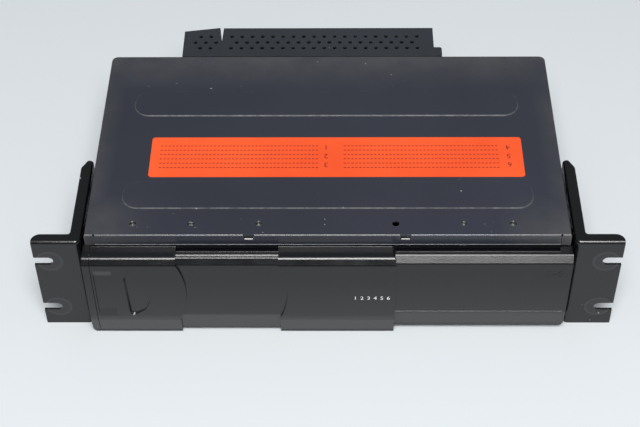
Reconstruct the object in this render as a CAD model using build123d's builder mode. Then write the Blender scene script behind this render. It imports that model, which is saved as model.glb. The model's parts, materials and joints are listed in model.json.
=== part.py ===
from build123d import *
import math
import os

os.makedirs("parts", exist_ok=True)

# ---------------------------------------------------------------- dimensions
# X right seen from the front, Y to the back, Z up, millimetres.
# Depths are counted from the cover's front fold, which lies at y = F.
F = -78.05

COVER_W = 250.0          # sheet cover over its side walls
COVER_D = 141.75
COVER_TOP = 65.0
SHEET = 1.0
EMBOSS = 0.6

BEZEL_W = 252.0          # black moulding across the front
CAP_X = 122.2            # inner face of the left end cap
DOOR_R = 19.0            # right jamb of the magazine doorway
DOOR_Z0, DOOR_Z1 = 9.0, 52.0

DOOR_A_L = -121.9        # pressed grip door, left edge
DOOR_A_R = -78.0
DOOR_B_R = -18.2         # hidden right end of the inner door
DOOR_C_L = -25.1
DOOR_C_R = 35.3
BULGE = 4.3              # bow of the matching door edges

BRACKET_T = 1.4
BRACKET_X0 = 126.4       # inner face of the bracket's side plate
EAR_X = 152.0
EAR_Y0 = -4.0
EAR_H = 64.0
SLOT_Z = (13.6, 49.6)
SLOT_W = 5.5
SLOT_END = 142.0

DISC_X, DISC_Y = -51.6, 70.0   # disc centre in the magazine
PITCH = 5.4
TRAY_Z = 18.2
TRAY_T = 1.2
TRAY_OUT = 100.0

LIFT = 29.0
PIN_R = 1.5
PIN_X = (50.0, 86.0)
PIN_Z = 8.5
SHAFT_X, SHAFT_Z = 70.0, 57.0
SHAFT_R = 1.5
M_RACK, N_PINION = 0.7, 12
M_GEAR, N_GEAR, N_MOTOR = 0.5, 20, 12
RP = M_RACK * N_PINION / 2.0
MOTOR_X = SHAFT_X + M_GEAR * (N_GEAR + N_MOTOR) / 2.0

SPIN_X, SPIN_Y = DISC_X + TRAY_OUT, DISC_Y


def Y(d):
    return F + d


# front section of the doors, from the top rear edge over the front to the
# bottom rear edge, as (depth, height)
P0 = [(-1.1, 58.0), (-8.9, 58.0), (-12.0, 54.5), (-12.0, 12.0), (-10.3, 2.3), (-10.3, 0.5), (-3.0, 0.5)]
R0 = [2.6, 1.6, 5.0, 0.3, 0.4]
# the same for the plain inner panel and for the fixed moulding behind it
P1 = [(-7.4, 57.0), (-8.0, 57.0), (-10.8, 53.8), (-10.8, 15.1), (-9.1, 3.3), (-9.1, 1.8), (-4.9, 1.8)]
R1 = [1.1, 1.4, 0.4, 0.3, 0.4]
P2 = [(0.0, 57.0), (-5.9, 57.0), (-9.6, 53.4), (-9.6, 16.0), (-8.1, 5.1), (-8.1, 2.8), (0.0, 2.8)]
R2 = [1.3, 1.4, 0.4, 0.3, 0.4]


def inset(pts, d):
    lines = []
    for (x0, y0), (x1, y1) in zip(pts[:-1], pts[1:]):
        ux, uy = x1 - x0, y1 - y0
        n = math.hypot(ux, uy)
        ux, uy = ux / n, uy / n
        lines.append(((x0 - uy * d, y0 + ux * d), (ux, uy), (x1 - uy * d, y1 + ux * d)))
    out = [lines[0][0]]
    for (p, u, _), (q, v, _) in zip(lines[:-1], lines[1:]):
        det = u[0] * v[1] - u[1] * v[0]
        t = ((q[0] - p[0]) * v[1] - (q[1] - p[1]) * v[0]) / det
        out.append((p[0] + u[0] * t, p[1] + u[1] * t))
    out.append(lines[-1][2])
    return out


def placed(pts):
    return [(Y(a), b) for a, b in pts]


def strip(x0, x1, outer, inner, r_out, r_in, mode=Mode.ADD):
    """Bent strip between two open outlines of the front section."""
    a, b = placed(outer), placed(inner)
    with BuildSketch(Plane.YZ.offset(x0)) as sk:
        with BuildLine():
            FilletPolyline(*a, radius=r_out)
            Line(a[-1], b[-1])
            FilletPolyline(*b[::-1], radius=r_in[::-1])
            Line(b[0], a[0])
        make_face()
    extrude(sk.sketch, amount=x1 - x0, mode=mode)


def thinner(pts, r, front, top):
    """Inner outline of a strip, front deep behind the face and top below the top."""
    pts, r = pts[:4] + pts[5:], r[:3] + r[4:]
    q = inset(pts, front)
    up = front - top
    q = [(pts[0][0], q[0][1] + up), (q[1][0], q[1][1] + up), (q[2][0], q[2][1] + up)] + q[3:]
    q[-1] = (pts[-1][0], q[-1][1])
    return q, [max(0.25, v - front) for v in r]


def block(x0, x1, d0, d1, z0, z1, mode=Mode.ADD):
    """Box between two corners, with y given as a depth."""
    with BuildSketch(Plane.XY.offset(z0)) as sk:
        with Locations(((x0 + x1) / 2, Y((d0 + d1) / 2))):
            Rectangle(abs(x1 - x0), abs(d1 - d0))
    extrude(sk.sketch, amount=z1 - z0, mode=mode)


def rod_y(x, z, r, d0, d1, mode=Mode.ADD):
    with BuildSketch(Plane.XZ.offset(-Y(d0))) as sk:
        with Locations((x, z)):
            Circle(r)
    extrude(sk.sketch, amount=-(d1 - d0), mode=mode)


def rod_x(d, z, r, x0, x1, mode=Mode.ADD):
    with BuildSketch(Plane.YZ.offset(x0)) as sk:
        with Locations((Y(d), z)):
            Circle(r)
    extrude(sk.sketch, amount=x1 - x0, mode=mode)


def rod_z(x, d, r, z0, z1, mode=Mode.ADD):
    with BuildSketch(Plane.XY.offset(z0)) as sk:
        with Locations((x, Y(d))):
            Circle(r)
    extrude(sk.sketch, amount=z1 - z0, mode=mode)


def slot_y(x, z, sep, w, rot, d0, d1, mode=Mode.SUBTRACT):
    with BuildSketch(Plane.XZ.offset(-Y(d0))) as sk:
        with Locations((x, z)):
            SlotCenterToCenter(sep, w, rotation=rot)
    extrude(sk.sketch, amount=-(d1 - d0), mode=mode)


def gear_points(n, m, phase, add=0.7, ded=1.0, backlash=0.07, pa=20.0):
    """Outline of a spur gear with stub involute teeth, one tooth at phase."""
    a0 = math.radians(pa)
    rp, ra, rf = n * m / 2, n * m / 2 + add * m, n * m / 2 - ded * m
    rb = rp * math.cos(a0)
    half = math.pi / (2 * n) - backlash / (2 * rp)
    inv = math.tan(a0) - a0
    start = max(rb, rf + 0.02)
    flank = []
    for i in range(6):
        r = start + (ra - start) * i / 5
        al = math.acos(min(1.0, rb / r))
        flank.append((r, half + inv - (math.tan(al) - al)))
    pts = []
    for k in range(n):
        c = phase + 2 * math.pi * k / n
        w = flank[0][1]
        pts.append((rf, c - w - 0.004))
        pts += [(r, c - t) for r, t in flank]
        pts += [(r, c + t) for r, t in flank[::-1]]
        pts.append((rf, c + w + 0.004))
    return [(r * math.cos(t), r * math.sin(t)) for r, t in pts]


def gear_y(x, z, pts, bore, d0, d1):
    with BuildSketch(Plane.XZ.offset(-Y(d0))) as sk:
        with Locations((x, z)):
            Polygon(*pts, align=None)
            Circle(bore, mode=Mode.SUBTRACT)
    extrude(sk.sketch, amount=-(d1 - d0))


def rack_points(x0, x1, z_base, z_pitch, m, tooth_x, add=0.7, ded=1.0, backlash=0.07, pa=20.0):
    """Strip with teeth on its upper edge; one tooth is centred on tooth_x."""
    p = math.pi * m
    t = math.tan(math.radians(pa))
    half = p / 4 - backlash / 2
    zt, zr = z_pitch + add * m, z_pitch - ded * m
    pts = [(x1, z_base), (x0, z_base), (x0, zr)]
    k = math.ceil((x0 + 1.2 - tooth_x) / p)
    while tooth_x + k * p < x1 - 1.2:
        c = tooth_x + k * p
        pts += [
            (c - half - ded * m * t, zr),
            (c - half + add * m * t, zt),
            (c + half - add * m * t, zt),
            (c + half + ded * m * t, zr),
        ]
        k += 1
    pts.append((x1, zr))
    return pts


# ================================================================ outside
# sheet cover: top, side walls, short front and rear flanges
with BuildPart() as top_cover:
    with BuildSketch(Plane.XY.offset(1.5)):
        with Locations((0, Y(COVER_D / 2))):
            Rectangle(COVER_W, COVER_D)
        fillet(vertices().group_by(Axis.Y)[-1], radius=3.5)
    extrude(amount=COVER_TOP - 1.5)
    fillet(faces().sort_by(Axis.Z)[-1].edges(), radius=1.1)
    with BuildSketch(Plane.XY.offset(0)):
        with Locations((0, Y(COVER_D / 2))):
            Rectangle(COVER_W - 2 * SHEET, COVER_D - 2 * SHEET)
        fillet(vertices().group_by(Axis.Y)[-1], radius=2.5)
    extrude(amount=COVER_TOP - SHEET, mode=Mode.SUBTRACT)
    # front: only a shallow flange is left, with relief dots at its ends
    block(-126, 126, -1, 1.3, 0, 57.7, mode=Mode.SUBTRACT)
    for s in (-1, 1):
        block(s * 119.9, s * 120.15, -1, 1.2, 57, 64.0, mode=Mode.SUBTRACT)
        rod_y(s * 120.0, 64.3, 0.75, -1, 1.2, mode=Mode.SUBTRACT)
    # rolled lower edge of the front flange
    rod_x(0.1, 58.0, 0.36, -119.9, 119.9)
    # latch windows
    for x in (-40.4, 40.1):
        block(x - 2.5, x + 2.5, -1, 1.5, 61.4, 63.2, mode=Mode.SUBTRACT)
        block(x - 2.9, x + 2.9, -1, 0.8, 63.1, 66.0, mode=Mode.SUBTRACT)
    # rear flange ends above the case's own rear wall
    block(-119, 119, COVER_D - 1.4, COVER_D + 1, 0, 55.0, mode=Mode.SUBTRACT)
    # slot for the case's tab in the rear flange
    block(61.4, 66.3, COVER_D - 1.4, COVER_D + 1, 60.3, 62.8, mode=Mode.SUBTRACT)
    # two raised panels
    for x0, x1, d0, d1 in ((-108.0, 108.0, 18.7, 38.9), (-108.0, 106.0, 90.0, 111.0)):
        with BuildSketch(Plane.XY.offset(COVER_TOP - 0.1)):
            with Locations(((x0 + x1) / 2, Y((d0 + d1) / 2))):
                RectangleRounded(x1 - x0, d1 - d0, 9.0)
        extrude(amount=EMBOSS + 0.1, taper=40)
    # six assembly holes
    for x, r in ((-100.6, 1.9), (-35.4, 1.85), (35.2, 1.95), (70.3, 1.5), (95.6, 1.9)):
        rod_z(x, 8.3, r, 60, 70, mode=Mode.SUBTRACT)
    with BuildSketch(Plane.XY.offset(60)):
        with Locations((-70.4, Y(8.3))):
            SlotOverall(4.0, 2.5)
    extrude(amount=8, mode=Mode.SUBTRACT)
    # clearance holes of the side screws and of the bracket screws
    for s in (-1, 1):
        for d, z in ((20, 32), (45, 32)):
            rod_x(d, z, 2.2, s * 123, s * 126, mode=Mode.SUBTRACT)
        for d, z in ((78, 20), (125, 20)):
            rod_x(d, z, 1.65, s * 123, s * 126, mode=Mode.SUBTRACT)
top_cover.part.label = "top_cover"

# zinc strip welded under the cover's front edge, seen through the holes
with BuildPart() as cover_stiffener:
    for x0, x1 in ((-118.0, 66.0), (89.6, 118.0)):
        block(x0, x1, 3.2, 14.0, 62.6, 63.4)
        block(x0, x1, 12.4, 14.0, 63.3, 64.0)
    block(30.0, 40.5, 3.0, 12.0, 62, 64.5, mode=Mode.SUBTRACT)
cover_stiffener.part.label = "cover_stiffener"

# foil label on the cover, with ruled rows only
with BuildPart() as cover_label:
    with BuildSketch(Plane.XY.offset(COVER_TOP)):
        with Locations(((-95.6 + 105.0) / 2, Y((42.3 + 72.9) / 2))):
            RectangleRounded(200.6, 30.6, 1.8)
    extrude(amount=0.15)
cover_label.part.label = "cover_label"

# case: floor, side walls and rear wall
CASE_X = 123.9
with BuildPart() as bottom_case:
    block(-CASE_X, CASE_X, 0, 140.6, 0, 1.2)
    for s in (-1, 1):
        block(s * (CASE_X - 1.2), s * CASE_X, 0, 140.6, 0, 55)
    block(-CASE_X, CASE_X, 139.4, 140.6, 0, 62.5)
    # tab that carries the hood's side ear
    block(61.7, 66.0, 140.6, 149.8, 60.6, 62.5)
    # wiring window between the bay and the hood
    block(-30, 30, 139, 141, 24, 44, mode=Mode.SUBTRACT)
    for s in (-1, 1):
        for d, z in ((20, 32), (45, 32)):
            rod_x(d, z, 2.2, s * 121, s * 125, mode=Mode.SUBTRACT)
        for d, z in ((78, 20), (125, 20)):
            rod_x(d, z, 1.65, s * 121, s * 125, mode=Mode.SUBTRACT)
    # posts for the four dampers
    for x in (-112.0, 112.0):
        for d in (14.0, 126.0):
            rod_z(x, d, 2.0, 1.2, 8.6)
    # vent slots in the floor
    for k in range(9):
        with BuildSketch(Plane.XY.offset(-1)):
            with Locations((40 + 8.0 * k, Y(104))):
                SlotOverall(34, 3.0, rotation=90)
        extrude(amount=3, mode=Mode.SUBTRACT)
    corners = edges().filter_by(Axis.Z).filter_by(lambda e: abs(abs(e.center().X) - CASE_X) < 0.01 and abs(e.center().Y - Y(140.6)) < 0.01)
    fillet(corners, radius=2.7)
bottom_case.part.label = "bottom_case"

# folded tray under the rear hood, spot-welded to the case's rear wall
with BuildPart() as rear_tray:
    block(-83.4, 60.3, 140.6, 162.6, 0, 1.2)
    block(-83.4, -82.2, 140.6, 162.6, 0, 14)
    block(59.1, 60.3, 140.6, 162.6, 0, 14)
    for x0, x1 in ((-80.0, -34.0), (10.0, 56.0)):
        block(x0, x1, 140.6, 141.4, 0, 9.0)
    for x in (-82.8, 59.7):
        rod_x(155, 8, 1.55, x - 2, x + 2, mode=Mode.SUBTRACT)
    # board stand-offs
    for x in (-54.0, 50.0):
        for d in (146.0, 160.0):
            rod_z(x, d, 2.5, 1.2, 20.0)
rear_tray.part.label = "rear_tray"

# perforated hood behind the cover
HOOD_Z0, HOOD_Z1 = 4.0, 64.8
HOOD_BACK = 26.35
hood_out = [
    (-84.6, Y(142.0)), (61.5, Y(142.0)), (61.5, Y(COVER_D + HOOD_BACK)),
    (-61.7, Y(COVER_D + HOOD_BACK)), (-62.3, Y(COVER_D + 14.0)),
    (-63.8, Y(COVER_D + 26.1)), (-84.6, Y(COVER_D + 22.8)),
]
hood_in = [
    (-83.6, Y(141.0)), (60.5, Y(141.0)), (60.5, Y(COVER_D + HOOD_BACK - 1)),
    (-60.6, Y(COVER_D + HOOD_BACK - 1)), (-61.2, Y(COVER_D + 12.8)), (-63.5, Y(COVER_D + 12.8)),
    (-64.9, Y(COVER_D + 24.8)), (-83.6, Y(COVER_D + 21.8)),
]
with BuildPart() as rear_vent_cover:
    with BuildSketch(Plane.XY.offset(HOOD_Z0)):
        Polygon(*hood_out, align=None)
    extrude(amount=HOOD_Z1 - HOOD_Z0)
    fillet(faces().sort_by(Axis.Z)[-1].edges().group_by(Axis.Y)[-1], radius=0.9)
    with BuildSketch(Plane.XY.offset(0)):
        Polygon(*hood_in, align=None)
    extrude(amount=HOOD_Z1 - 1.0, mode=Mode.SUBTRACT)
    # screw ear on the right
    with BuildSketch(Plane.XY.offset(HOOD_Z1 - 1.0)):
        with Locations((63.5, Y(145.9))):
            Rectangle(5.0, 7.8)
        fillet(vertices().group_by(Axis.X)[-1], radius=1.2)
    extrude(amount=1.0)
    block(61.7, 66.0, 142.0, 149.8, 62.5, 63.8)
    for x in (-84.1, 61.0):
        rod_x(155, 8, 1.65, x - 2, x + 2, mode=Mode.SUBTRACT)
    # perforation: 2.5 mm holes on a 6.03 mm pitch in three staggered rows
    for d, x0, skip in ((7.6, -74.7, 2), (12.7, -77.7, 3), (18.0, -74.7, 2)):
        with BuildSketch(Plane.XY.offset(60)):
            with Locations(*[(x0 + 6.03 * k, Y(COVER_D + d)) for k in range(22) if k != skip]):
                Circle(1.25)
        extrude(amount=8, mode=Mode.SUBTRACT)
    # connector window in the back wall
    block(-40.2, -13.8, 160, 170, 21.4, 37, mode=Mode.SUBTRACT)
rear_vent_cover.part.label = "rear_vent_cover"

# black front moulding: left end cap, fixed right-hand face, two door rails
with BuildPart() as front_bezel:
    # left end cap at door level, then the whole section at the lowest level
    for x0, x1, pts, rad in (
        (-BEZEL_W / 2, -CAP_X, [(0.0, 58.0)] + P0[1:-1] + [(0.0, 0.5)], R0),
        (-CAP_X - 1, BEZEL_W / 2, P2, R2),
    ):
        a = placed(pts)
        with BuildSketch(Plane.YZ.offset(x0)):
            with BuildLine():
                FilletPolyline(*a, radius=rad)
                Line(a[-1], a[0])
            make_face()
        extrude(amount=x1 - x0)
    # doorway between the two rails
    block(-CAP_X, DOOR_R, -20, 10, DOOR_Z0, DOOR_Z1, mode=Mode.SUBTRACT)
    # hollow behind the fixed face
    with BuildSketch(Plane.YZ.offset(DOOR_R + 2.5)):
        Polygon(
            (Y(-7.8), 51.0), (Y(-7.8), 15.0), (Y(-6.6), 9.0), (Y(1), 9.0), (Y(1), 51.0), align=None,
        )
    extrude(amount=123.5 - DOOR_R - 2.5, mode=Mode.SUBTRACT)
    # channels for the doors' hooks, above and below
    block(-CAP_X, 119.5, -3.6, -1.0, 53.9, 60, mode=Mode.SUBTRACT)
    rod_x(-3.92, 56.75, 0.32, -CAP_X, 119.5)
    block(-CAP_X, 123.5, -5.9, -2.7, 0, 6.4, mode=Mode.SUBTRACT)
    # clips that snap into the cover's windows
    for x in (-40.4, 40.1):
        block(x - 2.1, x + 2.1, -1.1, 2.6, 51.9, 53.4)
        block(x - 2.1, x + 2.1, 1.4, 2.6, 51.9, 63.0)
        with BuildSketch(Plane.YZ.offset(x - 2.1)):
            Polygon((Y(1.5), 61.6), (Y(0.1), 61.6), (Y(0.1), 61.75), (Y(0.6), 62.15), (Y(1.5), 62.3), align=None)
        extrude(amount=4.2)
    # rounded lower corners seen from the front
    for k, z in ((-1, 0.5), (1, 2.8)):
        with BuildSketch(Plane.XZ.offset(-Y(-20))):
            with BuildLine():
                ThreePointArc((k * 126, z + 3.2), (k * (126 - 0.937), z + 0.937), (k * 122.8, z))
                Line((k * 122.8, z), (k * 122.8, -3))
                Line((k * 122.8, -3), (k * 128, -3))
                Line((k * 128, -3), (k * 128, z + 3.2))
                Line((k * 128, z + 3.2), (k * 126, z + 3.2))
            make_face()
        extrude(amount=-30, mode=Mode.SUBTRACT)
    # fine ridge where the fixed face meets its lower bevel
    rod_x(-9.36, 15.95, 0.48, DOOR_R + 16.0, 124.0)
front_bezel.part.label = "front_bezel"


# outer door: the middle slider
with BuildPart() as outer_door:
    q, rq = thinner(P0, R0, 1.0, 0.8)
    strip(DOOR_C_L - 1, DOOR_C_R, P0, q, R0, rq)
    # bowed left edge, with straight ends
    with BuildSketch(Plane.XZ.offset(-Y(-20))):
        with BuildLine():
            Line((DOOR_C_L - 9, 66), (DOOR_C_L, 66))
            Line((DOOR_C_L, 66), (DOOR_C_L, 55))
            ThreePointArc((DOOR_C_L, 55), (DOOR_C_L + BULGE, 34), (DOOR_C_L, 13))
            Line((DOOR_C_L, 13), (DOOR_C_L, -4))
            Line((DOOR_C_L, -4), (DOOR_C_L - 9, -4))
            Line((DOOR_C_L - 9, -4), (DOOR_C_L - 9, 66))
        make_face()
    extrude(amount=-25, mode=Mode.SUBTRACT)
    # rounded top right corner
    with BuildSketch(Plane.XZ.offset(-Y(-20))):
        with BuildLine():
            ThreePointArc((DOOR_C_R, 56.0), (DOOR_C_R - 0.586, 57.414), (DOOR_C_R - 2.0, 58.0))
            Line((DOOR_C_R - 2.0, 58.0), (DOOR_C_R - 2.0, 66.0))
            Line((DOOR_C_R - 2.0, 66.0), (DOOR_C_R + 3, 66.0))
            Line((DOOR_C_R + 3, 66.0), (DOOR_C_R + 3, 56.0))
            Line((DOOR_C_R + 3, 56.0), (DOOR_C_R, 56.0))
        make_face()
    extrude(amount=-25, mode=Mode.SUBTRACT)
    # hooks that run in the channels of the moulding
    block(DOOR_C_L + 1, DOOR_C_R - 4.5, -2.5, -1.5, 54.5, 57.5)
    block(DOOR_C_L + 1, DOOR_C_R - 4.5, -3.9, -3.1, 0.9, 5.5)
    rod_x(-1.42, 57.9, 0.32, DOOR_C_L, DOOR_C_R - 2.0)
outer_door.part.label = "outer_door"

# inner door: the grip panel with the plain panel that runs behind the slider
with BuildPart() as inner_door:
    q, rq = thinner(P0, R0, 1.9, 0.8)
    strip(DOOR_A_L, DOOR_A_R + 6, P0, q, R0, rq)
    # bowed right edge that matches the outer door
    with BuildSketch(Plane.XZ.offset(-Y(-20))):
        with BuildLine():
            Line((DOOR_A_R + 12, 66), (DOOR_A_R, 66))
            Line((DOOR_A_R, 66), (DOOR_A_R, 55))
            ThreePointArc((DOOR_A_R, 55), (DOOR_A_R + BULGE, 34), (DOOR_A_R, 13))
            Line((DOOR_A_R, 13), (DOOR_A_R, -4))
            Line((DOOR_A_R, -4), (DOOR_A_R + 12, -4))
            Line((DOOR_A_R + 12, -4), (DOOR_A_R + 12, 66))
        make_face()
    extrude(amount=-25, mode=Mode.SUBTRACT)
    q, rq = thinner(P1, R1, 0.7, 0.7)
    strip(DOOR_A_L + 2, DOOR_B_R, P1, q, R1, rq)
    block(DOOR_A_L + 1, DOOR_A_R - 2, -2.5, -1.5, 54.5, 57.5)
    block(DOOR_A_L + 1, DOOR_B_R - 5, -5.6, -5.0, 2.0, 5.5)
    rod_x(-1.42, 57.9, 0.32, DOOR_A_L, DOOR_A_R)
    # pressed bar, running out at both ends
    with BuildSketch(Plane.YZ.offset(-120.9)):
        with BuildLine():
            FilletPolyline((Y(-12.6), 53.4), (Y(-11.15), 46.8), (Y(-11.15), 20.4), (Y(-12.6), 11.6), radius=5.0)
            Line((Y(-12.6), 11.6), (Y(-12.6), 53.4))
        make_face()
    extrude(amount=9.6, mode=Mode.SUBTRACT)
    # thumb scoop, deepest at its left wall, with sloping walls
    tilt = Plane(origin=(-105.6, Y(-12 + 1.45), 32.0), x_dir=(math.cos(math.radians(4.9)), -math.sin(math.radians(4.9)), 0), z_dir=(-math.sin(math.radians(4.9)), -math.cos(math.radians(4.9)), 0))
    with BuildSketch(tilt):
        with BuildLine():
            FilletPolyline((0.7, 18.6), (12.6, -4.0), (9.6, -11.2), (2.0, -16.6), radius=[1.4, 3.2, 4.6, 1.6], close=True)
        make_face()
    extrude(amount=4, taper=-32, mode=Mode.SUBTRACT)
inner_door.part.label = "inner_door"

# mounting brackets: side plate, front ear with two open slots, rim flanges
with BuildPart() as right_bracket:
    R_IN, R_OUT = 1.8, 3.2
    x0, x1 = BRACKET_X0, BRACKET_X0 + BRACKET_T
    with BuildSketch(Plane.XY):
        with BuildLine():
            FilletPolyline(
                (x0, Y(56)), (x0, Y(EAR_Y0)), (EAR_X, Y(EAR_Y0)), radius=R_OUT,
            )
            Line((EAR_X, Y(EAR_Y0)), (EAR_X, Y(EAR_Y0 + BRACKET_T)))
            FilletPolyline(
                (EAR_X, Y(EAR_Y0 + BRACKET_T)), (x1, Y(EAR_Y0 + BRACKET_T)), (x1, Y(56)), radius=R_IN,
            )
            Line((x1, Y(56)), (x0, Y(56)))
        make_face()
    extrude(amount=EAR_H)
    # top rim: along the side plate and along the ear
    with BuildSketch(Plane.XY.offset(EAR_H - BRACKET_T)):
        with BuildLine():
            FilletPolyline(
                (x0, Y(EAR_Y0)), (EAR_X, Y(EAR_Y0)), (EAR_X, Y(1.8)), (132.2, Y(1.8)),
                (132.2, Y(50.5)), (129.2, Y(56.0)), (x0, Y(56.0)),
                radius=[3.2, 0.3, 4.6, 1.6, 3.0, 1.2, 0.6], close=True,
            )
        make_face()
    extrude(amount=BRACKET_T)
    fillet(
        edges().filter_by(lambda e: abs(e.center().Z - EAR_H) < 0.01 and abs(e.center().Y - Y(EAR_Y0)) < 0.01 and e.length > 10),
        radius=2.0,
    )
    # the ear's lower outer corner and the side plate's lower rear corner
    for z in SLOT_Z:
        with BuildSketch(Plane.XZ.offset(-Y(-8))):
            with Locations((SLOT_END + SLOT_W / 2, z)):
                Circle(SLOT_W / 2)
            with Locations((SLOT_END + SLOT_W / 2 + 10, z)):
                Rectangle(20, SLOT_W)
        extrude(amount=-9, mode=Mode.SUBTRACT)
    # bosses that stand the plate off the cover, and the screw holes
    for d in (20, 45):
        rod_x(d, 32, 5.0, 125.0, x0 + 0.1)
    for d in (20, 45):
        rod_x(d, 32, 2.2, 120, 134, mode=Mode.SUBTRACT)
    # lightening window low in the side plate
    with BuildSketch(Plane.YZ.offset(124)):
        with Locations((Y(32.5), 48.0)):
            SlotOverall(26, 8)
    extrude(amount=8, mode=Mode.SUBTRACT)
right_bracket.part.label = "right_bracket"

with BuildPart() as left_bracket:
    mirror(right_bracket.part, about=Plane.YZ)
left_bracket.part.label = "left_bracket"


def screw_x(s, d, z, x_tip, x_under, r, r_head, h_head):
    """Pan-head screw along X; s is the side its head faces."""
    rod_x(d, z, r, s * x_tip, s * x_under)
    rod_x(d, z, r_head, s * x_under, s * (x_under + h_head))
    with BuildSketch(Plane.YZ.offset(s * (x_under + h_head * 0.45))) as sk:
        with Locations((Y(d), z)):
            Rectangle(r_head * 1.15, r_head * 0.3)
            Rectangle(r_head * 0.3, r_head * 1.15)
    extrude(sk.sketch, amount=s * h_head, mode=Mode.SUBTRACT)


with BuildPart() as bracket_screws:
    for s in (-1, 1):
        for d in (20, 45):
            screw_x(s, d, 32, 121.8, BRACKET_X0 + BRACKET_T, 2.0, 4.0, 2.0)
bracket_screws.part.label = "bracket_screws"

with BuildPart() as cover_screws:
    for s in (-1, 1):
        for d in (78, 125):
            screw_x(s, d, 20, 121.8, 125.0, 1.5, 2.75, 1.5)
cover_screws.part.label = "cover_screws"

with BuildPart() as hood_screws:
    screw_x(-1, 155, 8, 81.6, 84.6, 1.5, 2.6, 1.3)
    screw_x(1, 155, 8, 58.6, 61.5, 1.5, 2.6, 1.3)
hood_screws.part.label = "hood_screws"

# ================================================================ magazine
MX0, MX1 = -118.3, 15.5
MZ0, MZ1 = 15.0, 51.2
MD0, MD1 = 6.0, 134.0
with BuildPart() as magazine_case:
    block(MX0, MX1, MD0, MD1, MZ0, MZ1)
    fillet(edges().filter_by(Axis.Y), radius=1.2)
    fillet(edges().filter_by(Axis.X).group_by(Axis.Y)[0], radius=1.0)
    block(MX0 + 1.6, MX1 + 2, MD0 + 3.2, MD1 - 3.2, MZ0 + 1.6, MZ1 - 1.6, mode=Mode.SUBTRACT)
    # one pair of guide grooves for each tray
    for k in range(6):
        z = TRAY_Z + PITCH * k
        block(MX0 + 1.6, MX1 + 2, MD0 + 2.1, MD1 - 2.1, z - 0.2, z + TRAY_T + 0.2, mode=Mode.SUBTRACT)
    # window under the discs' centres, open to the right
    for z0, z1 in ((MZ0 - 1, MZ0 + 3), (MZ1 - 3, MZ1 + 1)):
        with BuildSketch(Plane.XY.offset(z0)):
            with Locations((DISC_X, Y(DISC_Y))):
                Circle(22)
            with Locations(((DISC_X + MX1) / 2 + 5, Y(DISC_Y))):
                Rectangle(MX1 - DISC_X + 10, 44)
        extrude(amount=z1 - z0, mode=Mode.SUBTRACT)
    # finger groove across the front wall
    with BuildSketch(Plane.XZ.offset(-Y(MD0 - 0.5))):
        with Locations((-51.4, 33.0)):
            SlotOverall(70, 12)
    extrude(amount=-1.7, mode=Mode.SUBTRACT)
magazine_case.part.label = "magazine_case"

# six identical trays, one above another
TX0, TX1 = -116.2, 15.0
tray_1, tray_2, tray_3, tray_4, tray_5, tray_6 = [BuildPart() for _ in range(6)]


def tray_shape(z):
    with BuildSketch(Plane.XY.offset(z)) as sk:
        with Locations(((TX0 + TX1) / 2, Y(DISC_Y))):
            Rectangle(TX1 - TX0, 123.0)
        fillet(vertices(), radius=2.0)
        # opening for the turntable and the pickup
        with Locations((DISC_X, Y(DISC_Y))):
            Circle(19.5, mode=Mode.SUBTRACT)
        with Locations((DISC_X + 40, Y(DISC_Y))):
            Rectangle(80, 39, mode=Mode.SUBTRACT)
    extrude(sk.sketch, amount=TRAY_T)
    # rim segments that centre the disc
    with BuildSketch(Plane.XY.offset(z + TRAY_T)) as sk:
        with Locations((DISC_X, Y(DISC_Y))):
            Circle(62.2)
            Circle(60.5, mode=Mode.SUBTRACT)
        with Locations((DISC_X, Y(DISC_Y))):
            Rectangle(150, 90, mode=Mode.SUBTRACT)
        with Locations((DISC_X, Y(DISC_Y))):
            Rectangle(150, 120.2, mode=Mode.INTERSECT)
    extrude(sk.sketch, amount=1.1)
    # hook that the changer pulls by
    block(TX1 - 9, TX1 - 4, DISC_Y + 48, DISC_Y + 56, z + TRAY_T - 0.01, z + TRAY_T + 1.4)


with tray_1:
    tray_shape(TRAY_Z)
with tray_2:
    tray_shape(TRAY_Z + PITCH)
with tray_3:
    tray_shape(TRAY_Z + PITCH * 2)
with tray_4:
    tray_shape(TRAY_Z + PITCH * 3)
with tray_5:
    tray_shape(TRAY_Z + PITCH * 4)
with tray_6:
    tray_shape(TRAY_Z + PITCH * 5)
TRAYS = [tray_1, tray_2, tray_3, tray_4, tray_5, tray_6]

# eject bar below the magazine, and the lever behind it
with BuildPart() as eject_button:
    block(-12, 12, -5.0, 8.0, 10.2, 13.8)
    fillet(edges().filter_by(Axis.Z).group_by(Axis.Y)[0], radius=1.5)
    block(-3, 3, 7.9, 14.0, 10.6, 13.2)
    # ribs for the finger
eject_button.part.label = "eject_button"

LEVER_X, LEVER_Y = 12.0, 19.0
with BuildPart() as eject_lever:
    with BuildSketch(Plane.XY.offset(10.6)):
        with Locations((LEVER_X, Y(LEVER_Y))):
            Circle(4.2)
        with Locations(((LEVER_X - 14) / 2 - 0, Y(LEVER_Y))):
            Rectangle(LEVER_X + 14, 4.0)
        with Locations((LEVER_X, Y(LEVER_Y))):
            Circle(1.56, mode=Mode.SUBTRACT)
        with Locations((-13.0, Y(LEVER_Y + 2.0))):
            Rectangle(4.0, 6.0)
    extrude(amount=2.0)
eject_lever.part.label = "eject_lever"

# ================================================================ frame
with BuildPart() as mechanism_frame:
    block(-120.5, 121.3, 4.0, 137.6, 3.6, 5.0)
    for x in (-112.0, 112.0):
        for d in (14.0, 126.0):
            rod_z(x, d, 4.1, 3, 6, mode=Mode.SUBTRACT)
    # lightening windows
    with BuildSketch(Plane.XY.offset(3)):
        with Locations((-52, Y(70))):
            RectangleRounded(84, 84, 6)
        with Locations((90, Y(70))):
            RectangleRounded(30, 60, 5)
    extrude(amount=3, mode=Mode.SUBTRACT)
    # pivot of the eject lever
    rod_z(LEVER_X, LEVER_Y, 1.5, 4.9, 13.2)
    rod_z(LEVER_X, LEVER_Y, 3.2, 4.9, 10.3)
mechanism_frame.part.label = "mechanism_frame"

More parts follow.
